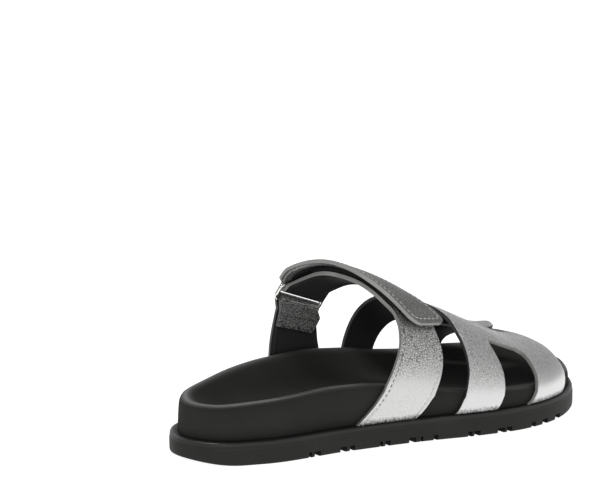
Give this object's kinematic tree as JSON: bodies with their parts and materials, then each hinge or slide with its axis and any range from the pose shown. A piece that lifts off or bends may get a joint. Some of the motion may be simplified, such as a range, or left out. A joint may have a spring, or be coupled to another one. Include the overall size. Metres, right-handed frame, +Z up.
{
  "type": "footbed sandal",
  "caption": "Right-foot sandal: flat rubber outsole, contoured footbed, cut-out leather front bands, and an instep strap that folds back through a metal ring.",
  "frame": {"origin": "on the floor under the middle of the outsole's footprint", "axes": "+X from the heel to the toe, +Y to the medial side, +Z up"},
  "size_m": [0.2612, 0.1073, 0.0927],
  "materials": {
    "outsole": "matt black moulded rubber",
    "footbed": "matt black smooth cover",
    "front_upper": "silver metallic grained leather, painted edges",
    "instep_strap": "silver metallic grained leather, stitched edges",
    "ring_tab": "silver metallic grained leather, stitched edges",
    "ring": "polished"
  },
  "bodies": {
    "root": {"outsole": "outsole", "footbed": "footbed", "front_upper": "front_upper", "instep_strap": "instep_strap", "ring_tab": "ring_tab", "ring": "ring"}
  },
  "joints": []
}
